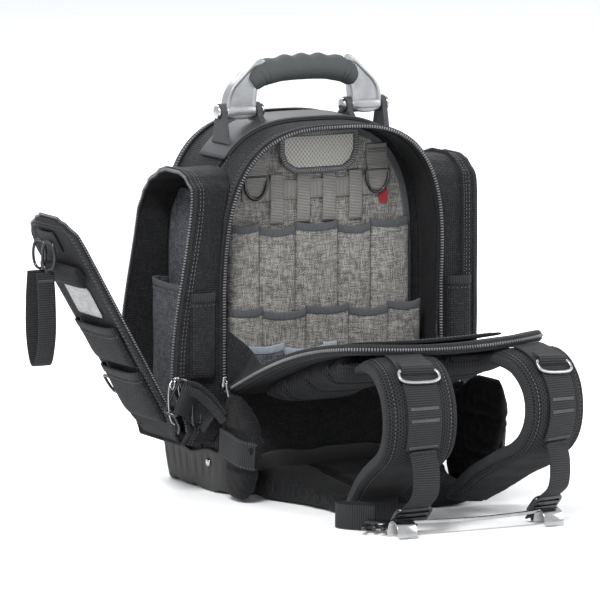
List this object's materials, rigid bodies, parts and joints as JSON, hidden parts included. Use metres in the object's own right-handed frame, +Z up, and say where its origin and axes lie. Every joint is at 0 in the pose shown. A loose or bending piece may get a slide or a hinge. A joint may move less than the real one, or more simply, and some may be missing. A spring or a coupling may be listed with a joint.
{
  "type": "tool backpack",
  "caption": "Soft-sided tool backpack on a moulded base, opened at the harness side, with side pockets, a folding handle and padded straps.",
  "frame": {"origin": "centre of the flat underside of the moulded base", "axes": "+Z up from the base towards the handle, the opened harness side towards -Y, the unzipped side pocket towards -X"},
  "size_m": [0.485, 0.4892, 0.4484],
  "materials": {
    "shell_fabric": "coarse black nylon weave",
    "pad_fabric": "padded black nylon",
    "webbing": "ribbed black webbing",
    "zip_chain": "black coil zip on its tape",
    "board_fabric": "grey woven lining",
    "lining_fabric": "blue-grey ribbed lining",
    "tray_plastic": "moulded matt plastic",
    "ring_plastic": "smooth moulded ring",
    "cast_metal": "grey cast metal",
    "steel": "bright steel",
    "grip_rubber": "moulded dark rubber",
    "label": "plain pale patch"
  },
  "bodies": {
    "root": {"base_tray": "tray_plastic", "front_shell": "shell_fabric", "rear_shell": "shell_fabric", "divider": "shell_fabric", "rear_cover": "shell_fabric", "front_zip": "zip_chain", "rear_zip": "zip_chain", "handle_saddle": "tray_plastic", "handle_pin_left": "steel", "handle_pin_right": "steel", "left_pocket": "shell_fabric", "right_pocket": "shell_fabric", "left_lining": "lining_fabric", "right_cover": "shell_fabric", "left_inner_pocket": "lining_fabric", "pen_pocket_left": "webbing", "pen_pocket_right": "webbing", "left_flap": "shell_fabric", "flap_zip": "zip_chain", "flap_roll": "shell_fabric", "flap_label": "label", "flap_pocket_upper": "shell_fabric", "flap_pocket_lower": "shell_fabric", "flap_loop": "webbing", "clip_ring_front": "ring_plastic", "clip_ring_rear": "ring_plastic", "tape_strap": "webbing", "flap_ring": "ring_plastic", "tool_board": "board_fabric", "top_pouch": "board_fabric", "board_webbing": "board_fabric", "board_ring_left": "ring_plastic", "board_ring_right": "ring_plastic", "pocket_row_upper": "board_fabric", "pocket_row_middle": "board_fabric", "pocket_row_front": "lining_fabric", "harness_panel": "shell_fabric", "panel_zip": "zip_chain", "panel_pocket": "shell_fabric", "back_pad_left": "pad_fabric", "back_pad_right": "pad_fabric", "lumbar_pad": "pad_fabric", "belt_wing_left": "pad_fabric", "belt_wing_right": "pad_fabric", "strap_pad_left": "pad_fabric", "strap_web_left": "webbing", "strap_ring_left": "steel", "strap_tail_left": "webbing", "strap_pad_right": "pad_fabric", "strap_web_right": "webbing", "strap_ring_right": "steel", "strap_tail_right": "webbing", "hanger_bar": "steel", "side_web_left": "webbing", "side_web_right": "webbing", "floor_loop": "webbing"},
    "handle": {"handle_arm_left": "cast_metal", "handle_arm_right": "cast_metal", "handle_grip": "grip_rubber"}
  },
  "joints": [
    {"name": "handle_fold", "type": "hinge", "parent": "root", "child": "handle", "pos_m": [0, 0.0005, 0.39], "axis": [1, 0, 0], "range_deg": [-65, 65]}
  ]
}
